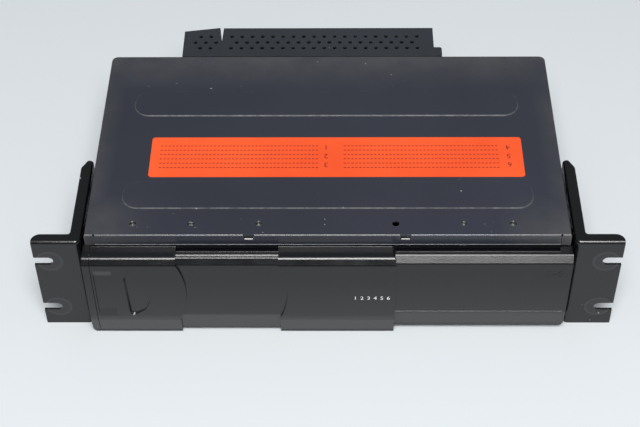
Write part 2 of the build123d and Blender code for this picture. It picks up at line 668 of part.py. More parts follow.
FP0, FP1 = 6.0, 7.2      # front plate depth
RP0, RP1 = 132.8, 134.0  # rear plate depth
for_plates = ((FP0, FP1), (RP0, RP1))
with BuildPart() as frame_front_plate:
    block(18.5, 121.3, FP0, FP1, 5.0, 61.0)
    block(18.5, 121.3, 4.0, FP1, 5.0, 6.0)
    for x in PIN_X:
        slot_y(x, PIN_Z + LIFT / 2, LIFT + 0.6, 2 * PIN_R + 0.16, 90, FP0 - 1, FP1 + 1)
    rod_y(SHAFT_X, SHAFT_Z, SHAFT_R + 0.06, FP0 - 1, FP1 + 1, mode=Mode.SUBTRACT)
    # shelf that hangs the lift motor
    block(66.8, 88.8, FP0, 21.2, 62.6, 63.6)
    block(66.8, 88.8, FP0, FP1, 60.5, 63.6)
    block(71.0, 87.0, 20.0, 21.2, 49.5, 63.6)
    rod_y(MOTOR_X, SHAFT_Z, 2.6, 19, 22, mode=Mode.SUBTRACT)
    rod_y(SHAFT_X, SHAFT_Z, 2.2, 19, 22, mode=Mode.SUBTRACT)
frame_front_plate.part.label = "frame_front_plate"

with BuildPart() as frame_rear_plate:
    block(18.5, 121.3, RP0, RP1, 5.0, 61.0)
    block(18.5, 121.3, RP0, 137.0, 5.0, 6.0)
    for x in PIN_X:
        slot_y(x, PIN_Z + LIFT / 2, LIFT + 0.6, 2 * PIN_R + 0.16, 90, RP0 - 1, RP1 + 1)
    rod_y(SHAFT_X, SHAFT_Z, SHAFT_R + 0.06, RP0 - 1, RP1 + 1, mode=Mode.SUBTRACT)
frame_rear_plate.part.label = "frame_rear_plate"

# rubber dampers between the case's posts and the frame
with BuildPart() as dampers:
    for x in (-112.0, 112.0):
        for d in (14.0, 126.0):
            rod_z(x, d, 6.0, 1.2, 3.6)
            rod_z(x, d, 4.0, 3.5, 5.1)
            rod_z(x, d, 5.6, 5.0, 7.4)
            rod_z(x, d, 2.0, 0, 9, mode=Mode.SUBTRACT)
dampers.part.label = "dampers"

# cradle that the magazine slides in
with BuildPart() as magazine_guide:
    block(-120.3, 17.3, 9.0, 137.0, 13.3, 14.8)
    block(-120.3, -119.0, 9.0, 137.0, 5.0, 50.0)
    block(-120.3, 17.3, 135.5, 137.0, 5.0, 50.0)
    block(15.9, 17.3, 30.0, 137.0, 5.0, 14.8)
    block(-20, 17.4, 8, 27.5, 10.0, 15.0, mode=Mode.SUBTRACT)
    # slides on the floor
    for x in (-100, -20):
        block(x, x + 6, 30.0, 137.0, 14.7, 14.95)
magazine_guide.part.label = "magazine_guide"

# ================================================================ lift
CAM_X0, CAM_X1 = 17.9, 91.2
CF0, CF1 = 4.2, 5.4
CR0, CR1 = 134.8, 136.0
with BuildPart() as cam_front:
    with BuildSketch(Plane.XZ.offset(-Y(CF0))):
        Polygon(*rack_points(CAM_X0, CAM_X1, 6.2, SHAFT_Z - RP, M_RACK, SHAFT_X), align=None)
    extrude(amount=-(CF1 - CF0))
    for x in PIN_X:
        slot_y(x - LIFT / 2, PIN_Z + LIFT / 2, LIFT * math.sqrt(2) + 0.6, 2 * PIN_R + 0.16, 135, CF0 - 1, CF1 + 1)
cam_front.part.label = "cam_front"

with BuildPart() as cam_rear:
    with BuildSketch(Plane.XZ.offset(-Y(CR0))):
        Polygon(*rack_points(CAM_X0, CAM_X1, 6.2, SHAFT_Z - RP, M_RACK, SHAFT_X), align=None)
    extrude(amount=-(CR1 - CR0))
    for x in PIN_X:
        slot_y(x - LIFT / 2, PIN_Z + LIFT / 2, LIFT * math.sqrt(2) + 0.6, 2 * PIN_R + 0.16, 135, CR0 - 1, CR1 + 1)
cam_rear.part.label = "cam_rear"

with BuildPart() as lift_shaft:
    rod_y(SHAFT_X, SHAFT_Z, SHAFT_R, 3.6, 136.6)
lift_shaft.part.label = "lift_shaft"

with BuildPart() as lift_pinions:
    pts = gear_points(N_PINION, M_RACK, math.radians(-90 + 180 / N_PINION))
    gear_y(SHAFT_X, SHAFT_Z, pts, SHAFT_R, CF0, CF1)
    gear_y(SHAFT_X, SHAFT_Z, pts, SHAFT_R, CR0, CR1)
lift_pinions.part.label = "lift_pinions"

with BuildPart() as lift_gear:
    gear_y(SHAFT_X, SHAFT_Z, gear_points(N_GEAR, M_GEAR, 0.0), SHAFT_R, 14.0, 17.0)
    with BuildSketch(Plane.XZ.offset(-Y(11.5))):
        with Locations((SHAFT_X, SHAFT_Z)):
            Circle(3.0)
            Circle(SHAFT_R, mode=Mode.SUBTRACT)
    extrude(amount=-2.6)
lift_gear.part.label = "lift_gear"

with BuildPart() as lift_motor:
    rod_y(MOTOR_X, SHAFT_Z, 6.0, 21.2, 46.0)
    fillet(edges().filter_by(GeomType.CIRCLE).group_by(Axis.Y)[-1], radius=0.8)
    rod_y(MOTOR_X, SHAFT_Z, 2.5, 20.0, 21.3)
    rod_y(MOTOR_X, SHAFT_Z, 1.06, 19.0, 23.5, mode=Mode.SUBTRACT)
lift_motor.part.label = "lift_motor"

with BuildPart() as motor_pinion:
    gear_y(MOTOR_X, SHAFT_Z, gear_points(N_MOTOR, M_GEAR, math.radians(180 + 180 / N_MOTOR)), 1.0, 14.0, 17.0)
    rod_y(MOTOR_X, SHAFT_Z, 1.0, 13.6, 23.0)
motor_pinion.part.label = "motor_pinion"

# ================================================================ play deck
with BuildPart() as deck_plate:
    block(20.0, 118.0, 9.5, 130.5, 10.0, 11.2)
    for d0, d1 in ((9.5, 10.7), (129.3, 130.5)):
        block(44.0, 96.0, d0, d1, 6.6, 10.1)
    # windows round the spindle motor and under the pickup
    rod_z(SPIN_X, SPIN_Y, 3.2, 9, 12, mode=Mode.SUBTRACT)
    block(67, 114, 63.5, 76.5, 9, 12, mode=Mode.SUBTRACT)
    # posts of the sled rails and of the screw
    for x0, x1 in ((63.0, 65.0), (115.6, 117.6)):
        block(x0, x1, 57, 83, 11.1, 15.6)
        for d in (60, 80):
            rod_x(d, 13.5, 1.5, x0 - 1, x1 + 1, mode=Mode.SUBTRACT)
    block(115.6, 117.6, 89, 95, 11.1, 15.6)
    rod_x(92, 13.5, 1.3, 115, 118, mode=Mode.SUBTRACT)
    for x in PIN_X:
        rod_y(x, PIN_Z, PIN_R, 9, 11, mode=Mode.SUBTRACT)
        rod_y(x, PIN_Z, PIN_R, 129, 131, mode=Mode.SUBTRACT)
deck_plate.part.label = "deck_plate"

with BuildPart() as deck_pins:
    for x in PIN_X:
        rod_y(x, PIN_Z, PIN_R, 3.7, 10.7)
        rod_y(x, PIN_Z, PIN_R, 129.3, 136.4)
deck_pins.part.label = "deck_pins"

with BuildPart() as spindle_motor:
    rod_z(SPIN_X, SPIN_Y, 12.0, 5.8, 10.0)
    fillet(edges().filter_by(GeomType.CIRCLE).group_by(Axis.Z)[0], radius=0.8)
    rod_z(SPIN_X, SPIN_Y, 1.06, 6.6, 11, mode=Mode.SUBTRACT)
spindle_motor.part.label = "spindle_motor"

with BuildPart() as turntable:
    with BuildSketch(Plane.XZ.offset(-SPIN_Y - F)):
        with BuildLine():
            Polyline(
                (SPIN_X, 7.0), (SPIN_X + 1.0, 7.0), (SPIN_X + 1.0, 12.0), (SPIN_X + 3.0, 12.0),
                (SPIN_X + 3.0, 12.8), (SPIN_X + 14.0, 12.8), (SPIN_X + 14.0, 14.2),
                (SPIN_X + 7.4, 14.2), (SPIN_X + 7.4, 15.6), (SPIN_X + 5.6, 17.0), (SPIN_X, 17.0),
                (SPIN_X, 7.0),
            )
        make_face()
    revolve(axis=Axis((SPIN_X, Y(SPIN_Y), 0), (0, 0, 1)), revolution_arc=360)
    # one key on the hub, so that its turning can be seen
    rod_z(SPIN_X + 10.5, SPIN_Y, 1.2, 14.1, 14.6)
turntable.part.label = "turntable"

with BuildPart() as pickup_block:
    block(66.0, 82.0, 57.0, 83.0, 11.9, 15.8)
    block(69.0, 79.0, 64.5, 75.5, 10.4, 12.0)
    block(70.0, 77.0, 82.9, 95.0, 12.0, 15.4)
    for d in (60, 80):
        rod_x(d, 13.5, 1.55, 65, 83, mode=Mode.SUBTRACT)
    rod_x(92, 13.5, 1.55, 69, 78, mode=Mode.SUBTRACT)
    rod_z(74.0, 70.0, 3.6, 14.0, 17, mode=Mode.SUBTRACT)
pickup_block.part.label = "pickup_block"

with BuildPart() as pickup_lens:
    rod_z(74.0, 70.0, 3.4, 14.0, 16.0)
    rod_z(74.0, 70.0, 2.2, 15.9, 16.4)
    fillet(edges().filter_by(GeomType.CIRCLE).group_by(Axis.Z)[-1], radius=0.35)
pickup_lens.part.label = "pickup_lens"

with BuildPart() as sled_rails:
    for d in (60, 80):
        rod_x(d, 13.5, 1.5, 62.6, 117.8)
sled_rails.part.label = "sled_rails"

with BuildPart() as sled_motor:
    block(43.5, 63.8, 86.5, 97.5, 11.2, 16.8)
    fillet(edges().filter_by(Axis.X), radius=1.5)
    rod_x(92, 13.5, 1.3, 60, 66, mode=Mode.SUBTRACT)
sled_motor.part.label = "sled_motor"

with BuildPart() as sled_screw:
    rod_x(92, 13.5, 1.25, 61.0, 117.4)
sled_screw.part.label = "sled_screw"

# ================================================================ electronics
with BuildPart() as main_board:
    block(-116, 10, 30, 116, 8.0, 9.6)
    for x in (-110, 4):
        for d in (36, 110):
            rod_z(x, d, 2.5, 5.0, 8.1)
main_board.part.label = "main_board"

with BuildPart() as board_components:
    for x, d, w, l, h in (
        (-84, 60, 18, 18, 2.2), (-50, 62, 14, 14, 2.0), (-20, 84, 10, 6, 2.4), (-92, 100, 10, 22, 2.2),
        (-30, 48, 8, 12, 2.4), (-62, 110, 26, 5, 2.6), (-6, 112, 12, 7, 2.4),
    ):
        block(x - w / 2, x + w / 2, d - l / 2, d + l / 2, 9.6, 9.6 + h)
    for x, d, r in ((-104, 44, 2.5), (-98, 44, 2.5), (-36, 100, 3.0), (-28, 100, 3.0), (-6, 70, 2.5)):
        rod_z(x, d, r, 9.6, 12.8)
board_components.part.label = "board_components"

with BuildPart() as rear_board:
    block(-58, 55, 143.4, 162.4, 20.0, 21.6)
rear_board.part.label = "rear_board"

with BuildPart() as rear_connector:
    block(-40.0, -14.0, 151.0, COVER_D + HOOD_BACK, 21.6, 36.8)
    # socket cavity, open to the back
    block(-37.0, -17.0, 156.0, COVER_D + HOOD_BACK + 1, 24.6, 33.8, mode=Mode.SUBTRACT)
    for k in range(6):
        for z in (27.0, 31.4):
            rod_y(-35.0 + 3.2 * k, z, 0.5, 155.9, 163.0)
rear_connector.part.label = "rear_connector"

with BuildPart() as heat_sink:
    block(4, 50, 145.0, 162.0, 21.6, 24.0)
    for k in range(9):
        block(4 + 5.5 * k, 6 + 5.5 * k, 145.0, 162.0, 23.9, 52.0)
heat_sink.part.label = "heat_sink"

# ================================================================ files
PARTS = {
    "top_cover": top_cover, "cover_label": cover_label, "bottom_case": bottom_case,
    "cover_stiffener": cover_stiffener, "rear_tray": rear_tray,
    "rear_vent_cover": rear_vent_cover, "front_bezel": front_bezel, "outer_door": outer_door,
    "inner_door": inner_door, "left_bracket": left_bracket, "right_bracket": right_bracket,
    "bracket_screws": bracket_screws, "cover_screws": cover_screws, "hood_screws": hood_screws,
    "magazine_case": magazine_case, "eject_button": eject_button, "eject_lever": eject_lever,
    "mechanism_frame": mechanism_frame, "frame_front_plate": frame_front_plate,
    "frame_rear_plate": frame_rear_plate, "dampers": dampers, "magazine_guide": magazine_guide,
    "cam_front": cam_front, "cam_rear": cam_rear, "lift_shaft": lift_shaft,
    "lift_pinions": lift_pinions, "lift_gear": lift_gear, "lift_motor": lift_motor,
    "motor_pinion": motor_pinion, "deck_plate": deck_plate, "deck_pins": deck_pins,
    "spindle_motor": spindle_motor, "turntable": turntable, "pickup_block": pickup_block,
    "pickup_lens": pickup_lens, "sled_rails": sled_rails, "sled_motor": sled_motor,
    "sled_screw": sled_screw, "main_board": main_board, "board_components": board_components,
    "rear_board": rear_board, "rear_connector": rear_connector, "heat_sink": heat_sink,
}
for i, t in enumerate(TRAYS):
    t.part.label = f"tray_{i + 1}"
    PARTS[f"tray_{i + 1}"] = t
for node, p in PARTS.items():
    export_step(p.part, f"parts/{node}.step")
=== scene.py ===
import json
import math

import bmesh
import bpy
import numpy as np
from mathutils import Matrix, Vector


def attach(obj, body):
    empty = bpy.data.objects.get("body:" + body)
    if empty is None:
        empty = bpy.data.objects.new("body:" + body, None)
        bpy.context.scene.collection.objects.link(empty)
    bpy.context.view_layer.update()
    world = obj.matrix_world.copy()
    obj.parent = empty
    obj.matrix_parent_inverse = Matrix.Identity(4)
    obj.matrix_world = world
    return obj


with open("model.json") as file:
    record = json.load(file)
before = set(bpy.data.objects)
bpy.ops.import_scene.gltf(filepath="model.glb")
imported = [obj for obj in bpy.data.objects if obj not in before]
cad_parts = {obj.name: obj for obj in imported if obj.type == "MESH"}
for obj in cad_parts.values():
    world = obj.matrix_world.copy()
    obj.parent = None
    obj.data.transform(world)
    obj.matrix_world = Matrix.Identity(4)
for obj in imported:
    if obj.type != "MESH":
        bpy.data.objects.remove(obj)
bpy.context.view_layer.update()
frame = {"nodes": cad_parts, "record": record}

NODES = frame["nodes"]
F = -78.05             # the cover's front fold, in mm
scene = bpy.context.scene


def Y(d):
    return F + d


def P(x, d, z):
    """A point from millimetres, with y as the depth behind the cover's fold."""
    return Vector((x / 1000.0, Y(d) / 1000.0, z / 1000.0))


# ------------------------------------------------------------------ camera
def make_camera():
    yaw, elev, roll = math.radians(-0.885), math.radians(46.196), math.radians(-0.668)
    fwd = Vector((math.sin(yaw) * math.cos(elev), math.cos(yaw) * math.cos(elev), -math.sin(elev)))
    right = Vector((math.cos(yaw), -math.sin(yaw), 0.0))
    up = right.cross(fwd)
    r2 = right * math.cos(roll) + up * math.sin(roll)
    u2 = -right * math.sin(roll) + up * math.cos(roll)
    m = Matrix.Identity(4)
    for i in range(3):
        m[i][0], m[i][1], m[i][2] = r2[i], u2[i], -fwd[i]
    m.translation = Vector((0.00419, (-504.8 + F) / 1000.0, 0.6075))
    cam = bpy.data.cameras.new("camera")
    cam.sensor_fit = "HORIZONTAL"
    cam.sensor_width = 36.0
    cam.lens = 81.54
    cam.clip_start = 0.01
    cam.clip_end = 20.0
    ob = bpy.data.objects.new("camera", cam)
    ob.matrix_world = m
    scene.collection.objects.link(ob)
    scene.camera = ob


make_camera()


# --------------------------------------------------------------- materials
def new_mat(name):
    m = bpy.data.materials.new(name)
    m.use_nodes = True
    nt = m.node_tree
    nt.nodes.clear()
    out = nt.nodes.new("ShaderNodeOutputMaterial")
    b = nt.nodes.new("ShaderNodeBsdfPrincipled")
    nt.links.new(b.outputs[0], out.inputs[0])
    return m, nt, b


def coords(nt, scale=(1, 1, 1)):
    tc = nt.nodes.new("ShaderNodeTexCoord")
    mp = nt.nodes.new("ShaderNodeMapping")
    mp.inputs["Scale"].default_value = scale
    nt.links.new(tc.outputs["Object"], mp.inputs[0])
    return mp.outputs[0]


def noise(nt, vec, scale, detail=4.0, rough=0.55, dist=0.0):
    n = nt.nodes.new("ShaderNodeTexNoise")
    n.inputs["Scale"].default_value = scale
    n.inputs["Detail"].default_value = detail
    n.inputs["Roughness"].default_value = rough
    n.inputs["Distortion"].default_value = dist
    nt.links.new(vec, n.inputs["Vector"])
    return n.outputs["Fac"]


def remap(nt, fac, a, b, lo, hi, clamp=True):
    m = nt.nodes.new("ShaderNodeMapRange")
    m.clamp = clamp
    m.inputs[1].default_value = a
    m.inputs[2].default_value = b
    m.inputs[3].default_value = lo
    m.inputs[4].default_value = hi
    nt.links.new(fac, m.inputs[0])
    return m.outputs[0]


def mix(nt, fac, a, b):
    m = nt.nodes.new("ShaderNodeMix")
    m.data_type = "RGBA"
    for sock, v in ((m.inputs[0], fac), (m.inputs[6], a), (m.inputs[7], b)):
        if isinstance(v, (tuple, list)):
            sock.default_value = (*v, 1.0) if len(v) == 3 else v
        elif isinstance(v, (int, float)):
            sock.default_value = v
        else:
            nt.links.new(v, sock)
    return m.outputs[2]


def math_node(nt, op, a, b=None):
    m = nt.nodes.new("ShaderNodeMath")
    m.operation = op
    for sock, v in ((m.inputs[0], a), (m.inputs[1], b)):
        if v is None:
            continue
        if isinstance(v, (int, float)):
            sock.default_value = v
        else:
            nt.links.new(v, sock)
    return m.outputs[0]


def bump(nt, b, height, strength, distance, prev=None):
    n = nt.nodes.new("ShaderNodeBump")
    n.inputs["Strength"].default_value = strength
    n.inputs["Distance"].default_value = distance
    nt.links.new(height, n.inputs["Height"])
    if prev is not None:
        nt.links.new(prev, n.inputs["Normal"])
    nt.links.new(n.outputs[0], b.inputs["Normal"])
    return n.outputs[0]


def xyz(nt):
    tc = nt.nodes.new("ShaderNodeTexCoord")
    sep = nt.nodes.new("ShaderNodeSeparateXYZ")
    nt.links.new(tc.outputs["Object"], sep.inputs[0])
    return sep.outputs[0], sep.outputs[1], sep.outputs[2]


def band(nt, v, lo0, lo1, hi0, hi1):
    """1 between lo1 and hi0, falling to 0 at lo0 and hi1."""
    return math_node(nt, "MULTIPLY", remap(nt, v, lo0, lo1, 0.0, 1.0), remap(nt, v, hi0, hi1, 1.0, 0.0))


def edge_mask(nt, radius, lo=0.01, hi=0.12):
    """1 on the convex and concave edges of a piece, 0 on its flats."""
    bv = nt.nodes.new("ShaderNodeBevel")
    bv.samples = 6
    bv.inputs[0].default_value = radius
    geo = nt.nodes.new("ShaderNodeNewGeometry")
    dot = nt.nodes.new("ShaderNodeVectorMath")
    dot.operation = "DOT_PRODUCT"
    nt.links.new(bv.outputs[0], dot.inputs[0])
    nt.links.new(geo.outputs["Normal"], dot.inputs[1])
    return remap(nt, dot.outputs["Value"], 1.0 - lo, 1.0 - hi, 0.0, 1.0)


def paint(name, base, rough, grain=900.0, grain_depth=0.00004, var=0.18, rough_var=0.06, coat=0.0, coat_rough=0.1,
          metallic=0.0, spec=0.5, specks=0.0, speck_col=(0.35, 0.34, 0.32), tint=None, blotch=14.0, strength=0.35,
          wear=0.0, wear_col=(0.10, 0.10, 0.105), wear_radius=0.0004, extra=None, smudge=0.0):
    """Painted or moulded surface: slow colour drift, fine grain, rubbed edges and a few worn specks."""
    m, nt, b = new_mat(name)
    v = coords(nt)
    slow = noise(nt, v, blotch, 3.0, 0.5)
    lo = tuple(c * (1 - var) for c in base)
    hi = tuple(min(1.0, c * (1 + var)) for c in (tint or base))
    col = mix(nt, remap(nt, slow, 0.35, 0.65, 0.0, 1.0), lo, hi)
    fine = noise(nt, v, grain, 3.0, 0.6)
    ro = remap(nt, noise(nt, v, blotch * 4.0, 4.0, 0.6), 0.3, 0.7, rough - rough_var, rough + rough_var)
    if smudge > 0:
        sm = remap(nt, noise(nt, coords(nt, (1.0, 2.2, 1.6)), 9.0, 5.0, 0.62, 1.5), 0.52, 0.72, 0.0, smudge)
        ro = math_node(nt, "ADD", ro, sm)
    if extra is not None:
        col, ro = extra(nt, v, col, ro)
    if specks > 0:
        dots = noise(nt, v, 520.0, 1.0, 0.4)
        area = noise(nt, v, 23.0, 2.0, 0.5)
        mask = math_node(nt, "MULTIPLY", remap(nt, dots, 0.79 - 0.02 * specks, 0.81, 0.0, 1.0), remap(nt, area, 0.5, 0.62, 0.0, 1.0))
        col = mix(nt, mask, col, speck_col)
    if wear > 0:
        rub = math_node(nt, "MULTIPLY", edge_mask(nt, wear_radius), remap(nt, noise(nt, v, 190.0, 4.0, 0.7), 0.42, 0.62, 0.0, wear))
        col = mix(nt, rub, col, wear_col)
    nt.links.new(col, b.inputs["Base Color"])
    nt.links.new(ro, b.inputs["Roughness"])
    b.inputs["Metallic"].default_value = metallic
    b.inputs["Specular IOR Level"].default_value = spec
    b.inputs["Coat Weight"].default_value = coat
    b.inputs["Coat Roughness"].default_value = coat_rough
    bump(nt, b, fine, strength, grain_depth)
    return m


def cover_painted_sheen_and_wear(nt, v, col, ro):
    """Painted sheen lighter toward the front corners, the sides and the back, with rougher paint there; worn paint and
    a painted highlight on the raised panels' sloped edges.
    """
    x, y, z = xyz(nt)
    ax = math_node(nt, "ABSOLUTE", x)
    cloud = remap(nt, noise(nt, v, 38.0, 5.0, 0.6), 0.32, 0.68, 0.35, 1.0)
    corner = math_node(nt, "MULTIPLY", remap(nt, ax, 0.088, 0.122, 0.0, 1.0), remap(nt, y, Y(30) / 1000, Y(4) / 1000, 0.0, 1.0))
    side = remap(nt, ax, 0.114, 0.124, 0.0, 0.45)
    back = remap(nt, y, Y(112) / 1000, Y(141) / 1000, 0.0, 0.75)
    # painted sheen: lighter paint colour toward the front corners, the sides and the back
    painted_sheen = math_node(nt, "MULTIPLY", math_node(nt, "MAXIMUM", math_node(nt, "MAXIMUM", corner, side), back), cloud)
    col = mix(nt, painted_sheen, col, (0.062, 0.061, 0.062))
    ro = math_node(nt, "ADD", ro, math_node(nt, "MULTIPLY", painted_sheen, 0.12))
    # worn paint and a painted highlight: a lighter band on the raised panels' sloped edges
    panel_edge_wear_and_highlight = math_node(nt, "MULTIPLY", band(nt, z, 0.06502, 0.06508, 0.06552, 0.06560),
                    remap(nt, noise(nt, v, 260.0, 3.0, 0.7), 0.38, 0.62, 0.25, 1.0))
    col = mix(nt, panel_edge_wear_and_highlight, col, (0.105, 0.105, 0.108))
    return col, ro


def face_painted_sheen(nt, v, col, ro):
    """Painted reflection: lighter colour toward the bottom of the faces and on the lower bevels."""
    x, y, z = xyz(nt)
    low = remap(nt, z, 0.044, 0.014, 0.0, 0.50)
    bevel = math_node(nt, "MULTIPLY", remap(nt, z, 0.0160, 0.0115, 0.0, 0.9), remap(nt, z, 0.0016, 0.0030, 0.0, 1.0))
    # painted reflection: lighter colour toward the bottom of the faces and on the lower bevels
    painted_sheen = math_node(nt, "MULTIPLY", math_node(nt, "ADD", low, bevel), remap(nt, noise(nt, v, 30.0, 4.0, 0.6), 0.3, 0.7, 0.75, 1.0))
    col = mix(nt, painted_sheen, col, (0.030, 0.031, 0.033))
    return col, ro


def ear_extra(nt, v, col, ro):
    """Faint rings where washers have pressed on the ears, and dulled patches."""
    x, y, z = xyz(nt)
    ax = math_node(nt, "ABSOLUTE", x)
    for zc in (0.0136, 0.0496):
        dx = math_node(nt, "POWER", math_node(nt, "SUBTRACT", ax, 0.1440), 2.0)
        dz = math_node(nt, "POWER", math_node(nt, "SUBTRACT", z, zc), 2.0)
        r = math_node(nt, "SQRT", math_node(nt, "ADD", dx, dz))
        disc = math_node(nt, "MULTIPLY", remap(nt, r, 0.0068, 0.0074, 1.0, 0.0), remap(nt, y, -0.0800, -0.0790, 1.0, 0.0))
        ring = band(nt, r, 0.0058, 0.0064, 0.0070, 0.0076)
        col = mix(nt, math_node(nt, "MULTIPLY", disc, 0.55), col, (0.014, 0.014, 0.015))
        col = mix(nt, math_node(nt, "MULTIPLY", math_node(nt, "MULTIPLY", ring, disc), 0.5), col, (0.035, 0.035, 0.036))
        ro = math_node(nt, "ADD", ro, math_node(nt, "MULTIPLY", disc, 0.10))
    return col, ro


def sheet_steel(name, base, rough, direction=(1, 40, 40), spangle=0.12, metallic=1.0, grain=220.0):
    """Rolled or plated sheet: directional lines and pale blotches."""
    m, nt, b = new_mat(name)
    v = coords(nt, direction)
    lines = noise(nt, v, grain, 3.0, 0.6)
    w = coords(nt)
    cloud = noise(nt, w, 55.0, 4.0, 0.6)
    col = mix(nt, remap(nt, cloud, 0.3, 0.7, 0.0, 1.0), tuple(c * (1 - spangle) for c in base), tuple(min(1.0, c * (1 + spangle * 0.6)) for c in base))
    nt.links.new(col, b.inputs["Base Color"])
    nt.links.new(remap(nt, lines, 0.3, 0.7, rough - 0.07, rough + 0.09), b.inputs["Roughness"])
    b.inputs["Metallic"].default_value = metallic
    bump(nt, b, lines, 0.25, 0.00002)
    return m


MAT = {}
MAT["cover_paint"] = paint("cover_paint", (0.0225, 0.0252, 0.0355), 0.22, grain=1500.0, grain_depth=0.00003, var=0.10, rough_var=0.03,
                           spec=0.5, specks=0.8, blotch=9.0, strength=0.25, wear=0.8, wear_col=(0.12, 0.12, 0.125), extra=cover_painted_sheen_and_wear, smudge=0.10)
MAT["hood_paint"] = paint("hood_paint", (0.0190, 0.0222, 0.0275), 0.30, grain=1500.0, grain_depth=0.00003, var=0.12, rough_var=0.03, spec=0.5,
                          specks=0.6, wear=0.7, wear_radius=0.0003)
MAT["bezel_plastic"] = paint("bezel_plastic", (0.0042, 0.0044, 0.0054), 0.19, grain=1900.0, grain_depth=0.00006, var=0.10, rough_var=0.03, spec=0.44,
                             strength=0.5, wear=0.5, wear_col=(0.045, 0.045, 0.047), wear_radius=0.0002, smudge=0.06, extra=face_painted_sheen)
MAT["door_plastic"] = paint("door_plastic", (0.0040, 0.0042, 0.0052), 0.18, grain=1900.0, grain_depth=0.00006, var=0.08, rough_var=0.03, spec=0.44,
                            strength=0.55, wear=0.4, wear_col=(0.045, 0.045, 0.047), wear_radius=0.0002, smudge=0.08, extra=face_painted_sheen)
MAT["bracket_paint"] = paint("bracket_paint", (0.0030, 0.0031, 0.0036), 0.17, spec=0.46, grain=420.0, grain_depth=0.00006, var=0.2, rough_var=0.05,
                             coat=0.10, coat_rough=0.06, specks=1.2, blotch=30.0, wear=0.6, wear_col=(0.07, 0.07, 0.072), wear_radius=0.00025,
                             extra=ear_extra, smudge=0.12)
MAT["screw_steel"] = paint("screw_steel", (0.05, 0.05, 0.052), 0.33, grain=1800.0, metallic=0.85, var=0.25)
MAT["case_steel"] = sheet_steel("case_steel", (0.60, 0.60, 0.58), 0.36)
MAT["frame_steel"] = sheet_steel("frame_steel", (0.64, 0.64, 0.62), 0.30)
MAT["cam_steel"] = sheet_steel("cam_steel", (0.55, 0.55, 0.56), 0.26, direction=(1, 30, 30))
MAT["shaft_steel"] = sheet_steel("shaft_steel", (0.66, 0.66, 0.68), 0.16, direction=(30, 1, 30), spangle=0.04)
MAT["motor_can"] = sheet_steel("motor_can", (0.58, 0.57, 0.54), 0.24, direction=(40, 1, 40), spangle=0.05)
MAT["pickup_metal"] = sheet_steel("pickup_metal", (0.50, 0.50, 0.50), 0.42, direction=(1, 1, 1), spangle=0.10, grain=900.0)
MAT["sink_aluminium"] = sheet_steel("sink_aluminium", (0.72, 0.72, 0.73), 0.34, direction=(1, 40, 1), spangle=0.05)
MAT["magazine_plastic"] = paint("magazine_plastic", (0.032, 0.032, 0.035), 0.46, grain=2200.0, grain_depth=0.00006, var=0.08)
MAT["tray_plastic"] = paint("tray_plastic", (0.055, 0.055, 0.058), 0.50, grain=2200.0, grain_depth=0.00005, var=0.08)
MAT["button_plastic"] = paint("button_plastic", (0.020, 0.020, 0.022), 0.30, grain=1800.0, grain_depth=0.00003, var=0.08)
MAT["lever_plastic"] = paint("lever_plastic", (0.62, 0.60, 0.54), 0.40, grain=900.0, var=0.05)
MAT["gear_plastic"] = paint("gear_plastic", (0.68, 0.66, 0.58), 0.38, grain=900.0, var=0.05)
MAT["damper_rubber"] = paint("damper_rubber", (0.018, 0.018, 0.019), 0.72, grain=1200.0, grain_depth=0.00006, var=0.15, spec=0.35)
MAT["guide_plastic"] = paint("guide_plastic", (0.022, 0.022, 0.024), 0.50, grain=2000.0, grain_depth=0.00006, var=0.10)
MAT["deck_plastic"] = paint("deck_plastic", (0.028, 0.028, 0.031), 0.52, grain=1600.0, grain_depth=0.00008, var=0.12)
MAT["turntable_plastic"] = paint("turntable_plastic", (0.030, 0.030, 0.033), 0.25, grain=1800.0, var=0.08)
MAT["connector_plastic"] = paint("connector_plastic", (0.012, 0.012, 0.013), 0.40, grain=1800.0, var=0.10)
MAT["component_plastic"] = paint("component_plastic", (0.016, 0.016, 0.017), 0.48, grain=1800.0, var=0.15)


def lens_mat():
    m, nt, b = new_mat("lens_glass")
    v = coords(nt)
    n = noise(nt, v, 300.0, 2.0)
    nt.links.new(mix(nt, n, (0.05, 0.07, 0.20), (0.12, 0.08, 0.26)), b.inputs["Base Color"])
    nt.links.new(remap(nt, n, 0.3, 0.7, 0.03, 0.08), b.inputs["Roughness"])
    b.inputs["Coat Weight"].default_value = 1.0
    b.inputs["Coat Roughness"].default_value = 0.02
    return m


MAT["lens_glass"] = lens_mat()


def board_mat():
    """Green laminate with copper tracks under the mask and tinned pads."""
    m, nt, b = new_mat("board_laminate")
    v = coords(nt)
    br = nt.nodes.new("ShaderNodeTexBrick")
    br.inputs["Scale"].default_value = 160.0
    br.inputs["Mortar Size"].default_value = 0.10
    br.offset = 0.37
    br.squash = 0.6
    nt.links.new(v, br.inputs["Vector"])
    vo = nt.nodes.new("ShaderNodeTexVoronoi")
    vo.inputs["Scale"].default_value = 260.0
    nt.links.new(v, vo.inputs["Vector"])
    tracks = mix(nt, br.outputs["Fac"], (0.012, 0.070, 0.030), (0.020, 0.120, 0.048))
    pads = remap(nt, vo.outputs["Distance"], 0.10, 0.14, 1.0, 0.0)
    nt.links.new(mix(nt, pads, tracks, (0.55, 0.54, 0.50)), b.inputs["Base Color"])
    nt.links.new(remap(nt, noise(nt, v, 300.0), 0.3, 0.7, 0.25, 0.38), b.inputs["Roughness"])
    bump(nt, b, br.outputs["Fac"], 0.3, 0.00003)
    return m


MAT["board_laminate"] = board_mat()


